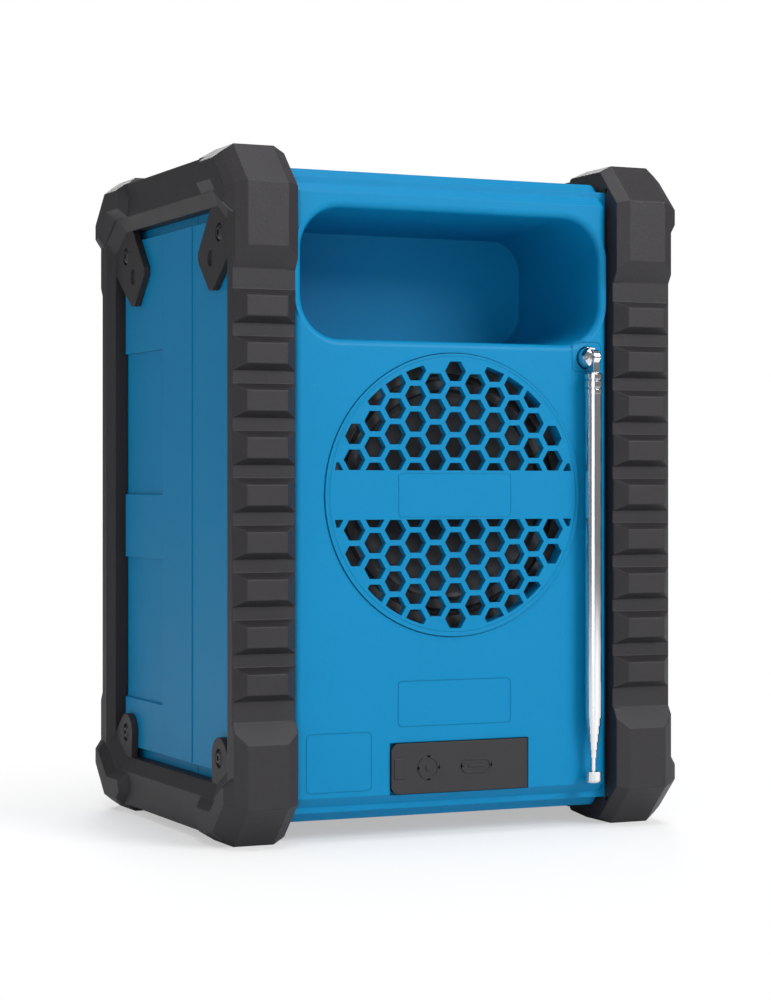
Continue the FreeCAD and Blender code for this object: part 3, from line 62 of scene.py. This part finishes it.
# %% [markdown]
# A finish is a material made of nodes. Shader maths is easier to read as sums than as boxes and wires,
# so one small class wraps a socket, and adding or multiplying two of them adds the Math node.
# All patterns read Object coordinates, which are real metres here, so a scale of 1000 means millimetres.

# %% Shader sums
MILLIMETRE = 0.001
PER_MILLIMETRE = 1000.0


class Value:
    """A number that changes over a surface."""

    def __init__(self, finish, socket):
        self.finish = finish
        self.socket = socket

    def sum(self, operation, *others):
        return self.finish.node("ShaderNodeMath", {"operation": operation}, dict(enumerate(others)))

    def __add__(self, other):
        return self.sum("ADD", self, other)

    __radd__ = __add__

    def __sub__(self, other):
        return self.sum("SUBTRACT", self, other)

    def __rsub__(self, other):
        return self.sum("SUBTRACT", other, self)

    def __mul__(self, other):
        return self.sum("MULTIPLY", self, other)

    __rmul__ = __mul__

    def __truediv__(self, other):
        return self.sum("DIVIDE", self, other)

    def __pow__(self, other):
        return self.sum("POWER", self, other)

    def __abs__(self):
        return self.sum("ABSOLUTE", self)

    def above(self, edge, soft):
        """0 below the edge and 1 above it, with a soft step between."""
        return self.finish.node("ShaderNodeMapRange", {"interpolation_type": "SMOOTHSTEP"},
                                {0: self, 1: edge - soft, 2: edge + soft, 3: 0.0, 4: 1.0})


class Finish:
    """A material under construction, with its shader and its Object coordinates."""

    def __init__(self, name):
        self.material = bpy.data.materials.new(name)
        self.material.use_nodes = True
        self.tree = self.material.node_tree
        self.shader = self.tree.nodes["Principled BSDF"]
        self.place = self.node("ShaderNodeTexCoord", output="Object")

    def node(self, kind, settings=None, inputs=None, output=0):
        made = self.tree.nodes.new(kind)
        for name, value in (settings or {}).items():
            setattr(made, name, value)
        for name, value in (inputs or {}).items():
            self.set(made.inputs[name], value)
        return Value(self, made.outputs[output])

    def set(self, socket, value):
        if isinstance(value, Value):
            self.tree.links.new(value.socket, socket)
        else:
            socket.default_value = value

    def give(self, **sockets):
        """Sets the shader's own sockets, written as base_color=..., roughness=... and so on."""
        for name, value in sockets.items():
            label = name.replace("_", " ").title().replace("Ior", "IOR")
            self.set(self.shader.inputs[label], value)
        return self

    def noise(self, per_mm, detail=2.0, rough=0.5):
        return self.node("ShaderNodeTexNoise", {}, {"Vector": self.place, "Scale": per_mm * PER_MILLIMETRE,
                                                    "Detail": detail, "Roughness": rough})

    def mix(self, share, first, second):
        return self.node("ShaderNodeMix", {"data_type": "RGBA"}, {0: share, 6: first, 7: second}, output=2)

    def axis(self, letter):
        return self.node("ShaderNodeSeparateXYZ", {}, {0: self.place}, output=letter)

    def relief(self, height, depth_mm, edge_mm=0.0):
        """Bump of a real depth, over edges that the Bevel node rounds."""
        inputs = {"Height": height, "Distance": depth_mm * MILLIMETRE, "Strength": 1.0}
        if edge_mm:
            inputs["Normal"] = self.node("ShaderNodeBevel", {"samples": 6}, {"Radius": edge_mm * MILLIMETRE})
        self.give(normal=self.node("ShaderNodeBump", {}, inputs))
        return self


def light_of(level):
    """The light that a screen value of 0 to 255 stands for."""
    return level / 255 / 12.92 if level <= 10 else ((level / 255 + 0.055) / 1.055) ** 2.4


def colour(red, green, blue):
    """A colour from screen values of 0 to 255."""
    return (light_of(red), light_of(green), light_of(blue), 1)


finishes = {}

# %% [markdown]
# The shells are moulded in blue plastic with a fine spark-eroded grain: it looks flat from afar and
# breaks the highlights up from near. Two sizes of noise make the grain, and a third, very wide one moves
# the colour a little, because a single flat blue looks like paint. The grille disc has the same plastic
# and a shallow groove just inside its rim, cut here by distance from the disc's middle.

# %% Blue shell
BLUE = colour(4, 122, 170)
BLUE_DEEP = colour(2, 115, 162)
SHELL_SHINE = 0.14


def grained_blue(name):
    finish = Finish(name)
    grain = finish.noise(1.3, 3.0, 0.6) + finish.noise(3.4, 2.0) * 0.5
    finish.give(base_color=finish.mix(finish.noise(0.02, 1.0), BLUE_DEEP, BLUE),
                roughness=grain * 0.12 + 0.34, specular_ior_level=SHELL_SHINE)
    return finish, grain


shell, grain = grained_blue("blue_shell")
shell.relief(grain, 0.05, 0.5)
finishes["blue_shell"] = shell.material

RIM_GROOVE = 48.7
GROOVE_HALF = 0.35
GROOVE_SOFT = 0.15
MIDDLE = 120.5
disc, grain = grained_blue("grille_blue")
across = disc.axis("X")
up = disc.axis("Z") - MIDDLE * MILLIMETRE
radius = (across * across + up * up) ** 0.5 * PER_MILLIMETRE
groove = 1 - abs(radius - RIM_GROOVE).above(GROOVE_HALF, GROOVE_SOFT)
disc.relief(grain * 0.25 - groove, 0.2, 0.3)
grille_blue = disc.material
print("blue finishes:", shell.material.name, grille_blue.name)

# %% [markdown]
# The bumper frames are a dark grey rubbery plastic with a coarse leather-like grain. Its facets catch the
# light as broad soft bands, so the roughness is high and the grain a little deeper than on the shells.

# %% Bumper rubber
RUBBER = colour(44, 42, 45)
RUBBER_DARK = colour(35, 33, 36)
RUBBER_SHINE = 0.3
bumper = Finish("bumper_rubber")
grain = bumper.noise(1.0, 4.0, 0.65)
bumper.give(base_color=bumper.mix(grain, RUBBER_DARK, RUBBER),
            roughness=bumper.noise(0.05) * 0.1 + 0.42, specular_ior_level=RUBBER_SHINE)
bumper.relief(grain, 0.09, 0.7)
finishes["bumper_rubber"] = bumper.material

soft = Finish("soft_rubber")
grain = soft.noise(2.0, 3.0, 0.6)
soft.give(base_color=soft.mix(grain, colour(38, 37, 40), colour(47, 46, 49)),
          roughness=grain * 0.1 + 0.45, specular_ior_level=RUBBER_SHINE)
soft.relief(grain, 0.04, 0.35)
finishes["soft_rubber"] = soft.material

# %% [markdown]
# Blackened steel, mouldings, pressed pulp, fired magnet and lacquered boards differ in how coarse and how
# deep their grain is, so a table gives each its two colours, its roughness, and the scale and depth of its
# noise.

# %% Plain finishes with a grain
GRAINED = {
    "black_steel": ((20, 20, 22), (30, 30, 32), 0.32, 2.0, 0.02, 0.15),
    "black_plastic": ((30, 30, 32), (38, 38, 40), 0.42, 1.6, 0.04, 0.3),
    "cone_board": ((32, 33, 36), (44, 45, 48), 0.8, 0.9, 0.12, 0.0),
    "ferrite": ((46, 46, 48), (62, 61, 62), 0.75, 2.2, 0.06, 0.2),
    "cell_wrap": ((28, 72, 128), (34, 84, 146), 0.3, 0.3, 0.03, 0.0),
    "circuit_board": ((10, 70, 38), (14, 88, 48), 0.35, 0.5, 0.05, 0.0),
    "white_mark": ((196, 198, 200), (214, 216, 218), 0.5, 2.0, 0.01, 0.0),
    # The seam row is painted shade: a darker copy of the shell blue for the shadow beside the seam lip.
    "seam_painted_shade": ((6, 38, 60), (8, 48, 74), 0.6, 1.0, 0.02, 0.0),
}
for name, (low, high, rough, per_mm, depth, edge) in GRAINED.items():
    made = Finish(name)
    grain = made.noise(per_mm, 3.0, 0.55)
    made.give(base_color=made.mix(grain, colour(*low), colour(*high)), roughness=grain * 0.12 + rough)
    made.relief(grain, depth, edge)
    finishes[name] = made.material

# %% [markdown]
# Zinc-plated steel has a faint streaky grain, and the antenna is bright chrome: nearly a mirror, with
# tiny scratches along its length. All are metals, so their colour is the colour of their reflections.
# The scratches are noise stretched along Z by a Mapping node.

# %% Metals
METALS = {
    "zinc_steel": ((150, 150, 152), (176, 177, 180), 0.34, (1.0, 1.0, 1.0), 0.02),
    "chrome_tube": ((206, 207, 210), (226, 227, 230), 0.07, (1.0, 1.0, 0.03), 0.004),
    "nickel": ((170, 166, 158), (190, 186, 178), 0.3, (0.1, 1.0, 1.0), 0.02),
}
for name, (low, high, rough, stretch, depth) in METALS.items():
    made = Finish(name)
    made.place = made.node("ShaderNodeMapping", {}, {"Vector": made.place, "Scale": stretch})
    streak = made.noise(4.0, 2.0)
    made.give(base_color=made.mix(streak, colour(*low), colour(*high)),
              roughness=streak * 0.06 + rough, metallic=1.0)
    made.relief(streak, depth, 0.15)
    finishes[name] = made.material

# %% [markdown]
# The display lies behind a smoked window. The window is a dark gloss with a clear coat, partly
# see-through, and the glass below is a plain grey-green field with the faint rows of an unlit display.

# %% Window and display
window = Finish("clear_window")
window.give(base_color=colour(18, 20, 23), roughness=window.noise(0.3) * 0.02 + 0.05,
            alpha=0.55, coat_weight=0.5)
finishes["clear_window"] = window.material

display = Finish("display_glass")
ROW_PITCH = 0.7
rows = (display.axis("Z") * (PER_MILLIMETRE / ROW_PITCH)).sum("FRACT")
display.give(base_color=display.mix(rows.above(0.85, 0.08), colour(96, 112, 100), colour(84, 99, 88)),
             roughness=0.25)
finishes["display_glass"] = display.material

# %% [markdown]
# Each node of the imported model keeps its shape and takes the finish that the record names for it.
# The rear grille takes the finish with the groove, and the M3 screws that show are blackened steel.

# %% Finishes for the frame's pieces
for part in frame["record"]["subparts"]:
    piece = nodes[part["node"]]
    piece.data.materials.clear()
    piece.data.materials.append(finishes[part["material_slot"]])
nodes["rear_grille"].data.materials[0] = grille_blue
for name in ("bumper_screws", "shell_screws"):
    nodes[name].data.materials[0] = finishes["black_steel"]
print("finishes given:", len(finishes))

# %% [markdown]
# Most things that are added here are thin raised shapes: blank plates, signs and marks. They are all one
# kind of piece. A plane is turned to face outwards, its corners are rounded by a vertex bevel, a rim can
# be kept by inset, and extrude and bevel give it its thickness. Its place is then applied to its mesh.

# %% Raised shapes
TURNS = {
    "+Y": ((-math.pi / 2, 0, 0), Vector((0, 1, 0))),
    "-Y": ((math.pi / 2, 0, 0), Vector((0, -1, 0))),
    "+X": ((0, math.pi / 2, 0), Vector((1, 0, 0))),
    "-X": ((0, -math.pi / 2, 0), Vector((-1, 0, 0))),
}


def deselect():
    for piece in list(bpy.context.selected_objects):
        piece.select_set(False)


def finish_piece(name, material, body):
    """Names the active object, puts its place in its mesh and lets it ride on a body."""
    bpy.ops.object.mode_set(mode="OBJECT")
    bpy.ops.object.transform_apply(location=True, rotation=True, scale=True)
    piece = bpy.context.object
    piece.name = name
    piece.data.name = name
    piece.data.materials.clear()
    piece.data.materials.append(material)
    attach(piece, body)
    return piece


def raised(name, centre, size, thick, corner, facing, material, body, rim=0.0, spin=0.0):
    """A thin rounded shape. centre, size, thick, corner and rim are millimetres."""
    deselect()
    turn, out = TURNS[facing]
    bpy.ops.mesh.primitive_plane_add(size=1, location=Vector(centre) * MILLIMETRE, rotation=turn)
    bpy.ops.object.mode_set(mode="EDIT")
    bpy.ops.transform.resize(value=(size[0] * MILLIMETRE, size[1] * MILLIMETRE, 1), orient_type="LOCAL")
    if spin:
        bpy.ops.transform.rotate(value=-spin, orient_axis="Y", center_override=Vector(centre) * MILLIMETRE)
    if corner:
        limit = min(corner, 0.499 * min(size)) * MILLIMETRE
        bpy.ops.mesh.bevel(offset=limit, segments=8, affect="VERTICES", profile=0.5)
    if rim:
        bpy.ops.mesh.inset(thickness=rim * MILLIMETRE)
        bpy.ops.mesh.delete(type="FACE")
        bpy.ops.mesh.select_all(action="SELECT")
    bpy.ops.mesh.extrude_region_move(TRANSFORM_OT_translate={"value": out * (thick * MILLIMETRE)})
    bpy.ops.mesh.bevel(offset=thick * MILLIMETRE * 0.45, segments=2, affect="EDGES")
    bpy.ops.mesh.select_all(action="SELECT")
    bpy.ops.mesh.remove_doubles(threshold=1e-7)
    bpy.ops.mesh.normals_make_consistent(inside=False)
    return finish_piece(name, material, body)


# %% [markdown]
# The back carries faint blank plates where a maker would set labels: on the grille's bar, below the
# grille and in the low corner, and a rounded line round the antenna's turret. They stay blank. Each stands
# only a tenth of a millimetre off the face, which is enough for its edge to catch the light.

# %% Blank plates
REAR = 67.5
PLATE_THICK = 0.09
RIM = 0.32
GRILLE_PROUD = 0.5
for name, centre, size, corner, material in (
        ("bar_plate", (0, REAR + GRILLE_PROUD, MIDDLE), (44.4, 15.6), 1.5, grille_blue),
        ("label_plate", (0, REAR, 47.3), (44.4, 16.2), 1.8, shell.material),
        ("corner_plate", (44.6, REAR, 27.8), (24.8, 20.7), 1.8, shell.material),
        ("turret_outline", (-53.0, REAR, 170.5), (12.0, 11.0), 2.0, shell.material)):
    raised(name, centre, size, PLATE_THICK, corner, "+Y", material, "radio", RIM)
print("blank plates made")

# %% [markdown]
# The front shell reaches round the middle of the radio to the joint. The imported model's shell stops short
# of it, so this band closes the sides, the top and the underside: thin plates, each a scaled cube, that
# continue the core, the raised middle and the side panels.

# %% Middle band
SEAM = 16.0
SIDE = 80.0
WALL = 2.6
BELT_HALF = 61.8
BELT_TALL = 227.0
CORE_HALF = 77.5
CORE_TALL = 220.4
PANEL_TALL = 193.0
JOINT_GAP = 0.5


def plate(name, low, high):
    """A plain block between two corners, in millimetres, in the shells' finish."""
    deselect()
    centre = (Vector(low) + Vector(high)) / 2 * MILLIMETRE
    size = (Vector(high) - Vector(low)) * MILLIMETRE
    bpy.ops.mesh.primitive_cube_add(size=1, location=centre)
    bpy.ops.transform.resize(value=size)
    return finish_piece(name, shell.material, "radio")


back_edge = SEAM - JOINT_GAP
for hand, label in ((1, "right"), (-1, "left")):
    for part, outer, inner, tall in (("core", CORE_HALF, CORE_HALF - WALL, CORE_TALL),
                                     ("panel", SIDE, CORE_HALF, PANEL_TALL)):
        edges = sorted((hand * outer, hand * inner))
        plate("band_%s_%s" % (part, label), (edges[0], -SEAM, MIDDLE - tall / 2),
              (edges[1], back_edge, MIDDLE + tall / 2))
for side, label in ((1, "top"), (-1, "bottom")):
    for part, half, tall in (("core", CORE_HALF - WALL, CORE_TALL), ("belt", BELT_HALF, BELT_TALL)):
        levels = sorted((MIDDLE + side * tall / 2, MIDDLE + side * (tall / 2 - WALL)))
        plate("band_%s_%s" % (part, label), (-half, -SEAM, levels[0]), (half, back_edge, levels[1]))
print("middle band made")

# %% [markdown]
# Where the two shells meet, each side panel shows a fine lip with a strip of painted shade in front of it: a
# darker blue that stands for the lip's shadow in the joint. Both are long thin strips, so the same raised
# shape serves, turned to face sideways.

# %% Seam
SEAM_LONG = 192.0
LIP_WIDE = 0.7
SHADE_WIDE = 0.6
SHADE_SINK = 0.02
for facing, hand, label in (("+X", 1, "right"), ("-X", -1, "left")):
    lip_place = (hand * SIDE, SEAM + LIP_WIDE / 2, MIDDLE)
    # The strip in front of the lip is painted shade, a dark blue for the lip's shadow in the joint.
    shade_place = (hand * (SIDE - SHADE_SINK), SEAM - SHADE_WIDE / 2, MIDDLE)
    raised("seam_lip_" + label, lip_place, (SEAM_LONG, LIP_WIDE), 0.3, 0.2, facing, shell.material, "radio")
    raised("seam_shade_" + label, shade_place, (SEAM_LONG, SHADE_WIDE), 0.05, 0.1, facing, finishes["seam_painted_shade"],
           "radio")
print("seam lips and lines made")

# %% [markdown]
# The rubber flap has two moulded signs that say what lies behind it. Here they are plain ones: a ring
# with a dot for the round jack, and a rounded slot with a bar for the flat socket.

# %% Flap signs
FLAP_FACE = 68.35
FLAP_Z = 24.6
SIGN = 0.25
for name, x, size, corner, rim in (
        ("flap_ring", 10.7, (8.4, 8.4), 4.2, 0.8), ("flap_dot", 10.7, (2.4, 2.4), 1.2, 0.0),
        ("flap_slot", -8.0, (12.0, 5.6), 2.8, 0.8), ("flap_bar", -8.0, (6.4, 1.1), 0.5, 0.0)):
    raised(name, (x, FLAP_FACE, FLAP_Z), size, SIGN, corner, "+Y", soft.material, "port_flap",
           rim)
print("flap signs made")

# %% [markdown]
# On the control side the knob has a white pointer and a ring of ticks, and each button a simple mark.
# They are printed on the real thing, so they are as thin as print.

# %% Control marks
KNOB_X = 33.0
KNOB_Z = 195.0
KNOB_FACE = -74.9
POINTER_OUT = 10.5
PANEL_FACE = -67.5
PRINT = 0.06
white = finishes["white_mark"]
raised("knob_pointer", (KNOB_X, KNOB_FACE, KNOB_Z + POINTER_OUT), (1.2, 5.0), PRINT, 0.5, "-Y", white,
       "volume_knob")

TICKS = 11
TICK_RADIUS = 17.6
TICK_SWEEP = 270
for i in range(TICKS):
    angle = math.radians(TICK_SWEEP * (i / (TICKS - 1) - 0.5))
    spot = (KNOB_X + TICK_RADIUS * math.sin(angle), PANEL_FACE, KNOB_Z + TICK_RADIUS * math.cos(angle))
    raised("knob_tick_%02d" % (i + 1), spot, (0.6, 1.6), PRINT, 0.2, "-Y", white, "radio",
           0.0, -angle)

BUTTON_FACE = -69.1
BUTTON_Z = 157.0
BUTTON_PITCH = 17.6
MARKS = {
    "power_button": [((0, 0), (4.2, 4.2), 2.1, 0.5)],
    "source_button": [((0, 0), (4.6, 3.2), 0.6, 0.5)],
    "menu_button": [((0, 1.2), (4.4, 0.5), 0.2, 0.0), ((0, 0), (4.4, 0.5), 0.2, 0.0),
                    ((0, -1.2), (4.4, 0.5), 0.2, 0.0)],
    "scan_button": [((-1.3, 0), (0.5, 3.4), 0.2, 0.0), ((1.3, 0), (0.5, 3.4), 0.2, 0.0)],
    "preset_button": [((0, 0), (1.8, 1.8), 0.9, 0.0)],
    "play_button": [((0, 0), (3.4, 3.4), 0.5, 0.0)],
}
for i, (button, shapes) in enumerate(MARKS.items()):
    x = (i - (len(MARKS) - 1) / 2) * BUTTON_PITCH
    for k, ((along, rise), size, corner, rim) in enumerate(shapes):
        raised("%s_mark_%d" % (button, k + 1), (x + along, BUTTON_FACE, BUTTON_Z + rise), size, PRINT, corner,
               "-Y", white, button, rim)
print("knob and button marks made")

# %% [markdown]
# The studio is a pale floor under soft lamps. Close to the radio the floor takes its shadow, lightened for
# the camera. Further out it turns into pure white, so it has no visible edge.

# %% Floor
deselect()
bpy.ops.mesh.primitive_plane_add(size=12, location=(0, 0, 0))
floor = bpy.context.object
floor.name = "studio_floor"
ground = Finish("studio_floor")
away = (ground.axis("X") * ground.axis("X") + ground.axis("Y") * ground.axis("Y")) ** 0.5
seen = ground.node("ShaderNodeLightPath", output="Is Camera Ray")
white_out = ground.node("ShaderNodeEmission", {}, {"Color": (1, 1, 1, 1), "Strength": 1.0})
ground.give(base_color=(0.9, 0.9, 0.9, 1), roughness=0.6)
LIFT = 0.45
share = (away.above(0.17, 0.1) * (1 - LIFT) + LIFT) * seen
lit = Value(ground, ground.shader.outputs[0])
blend = ground.node("ShaderNodeMixShader", {}, {0: share, 1: lit, 2: white_out})
ground.set(ground.tree.nodes["Material Output"].inputs["Surface"], blend)
floor.data.materials.append(ground.material)
floor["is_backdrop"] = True
print("floor made")

# %% [markdown]
# The world is white for the camera and dim as a light. Five large lamps do the modelling: a key high on the
# antenna's side, a weak fill from the other side, one overhead for the bevels, and two for the radio's
# side and front.

# %% Light
world = bpy.data.worlds.new("studio")
bpy.context.scene.world = world
world.use_nodes = True
sky = world.node_tree
path = sky.nodes.new("ShaderNodeLightPath")
strength = sky.nodes.new("ShaderNodeMix")
AS_LIGHT = 0.24
TO_CAMERA = 1.0
strength.inputs[2].default_value = AS_LIGHT
strength.inputs[3].default_value = TO_CAMERA
sky.links.new(path.outputs["Is Camera Ray"], strength.inputs[0])
sky.nodes["Background"].inputs["Color"].default_value = (1, 1, 1, 1)
sky.links.new(strength.outputs[0], sky.nodes["Background"].inputs["Strength"])

LAMPS = {
    "key": ((-0.65, 1.25, 0.95), 0.7, 19.5),
    "front": ((0.7, 1.3, 0.35), 0.8, 5.0),
    "overhead": ((0.0, 0.25, 1.25), 0.8, 7.0),
    "side": ((1.4, -0.2, 0.45), 0.7, 2.6),
    "back": ((-0.4, -1.3, 0.7), 0.9, 10.0),
}
TARGET = Vector((0, 0, 0.12))
for name, (place, size, power) in LAMPS.items():
    lamp = bpy.data.lights.new(name, "AREA")
    lamp.size = size
    lamp.energy = power
    holder = bpy.data.objects.new(name, lamp)
    bpy.context.scene.collection.objects.link(holder)
    holder.location = place
    holder.rotation_euler = (TARGET - Vector(place)).to_track_quat("-Z", "Y").to_euler()
print("lamps:", ", ".join(LAMPS))

# %% [markdown]
# The camera stands level, low and well back, so all upright edges stay parallel. A small shift lowers
# its view by the share of the frame that the photograph's horizon lies above the middle.

# %% Camera
lens = bpy.data.cameras.new("camera")
lens.lens = 89.49
lens.sensor_width = 36.0
lens.shift_y = -0.0133
lens.clip_start = 0.01
camera = bpy.data.objects.new("camera", lens)
bpy.context.scene.collection.objects.link(camera)
camera.location = (0.3857, 0.8579, 0.1234)
camera.rotation_euler = Vector((-0.4133, -0.9106, 0)).to_track_quat("-Z", "Y").to_euler()
bpy.context.scene.camera = camera
bpy.context.scene.view_settings.view_transform = "Standard"
print("camera at", tuple(round(v, 4) for v in camera.location))

# %% [markdown]
# At the end the script works out the box of the dressed radio, floor left out, and prints its size in
# millimetres.

# %% Size of the dressed radio
low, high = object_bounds()
print("box of the radio, in mm:", [round((b - a) * PER_MILLIMETRE, 2) for a, b in zip(low, high)])
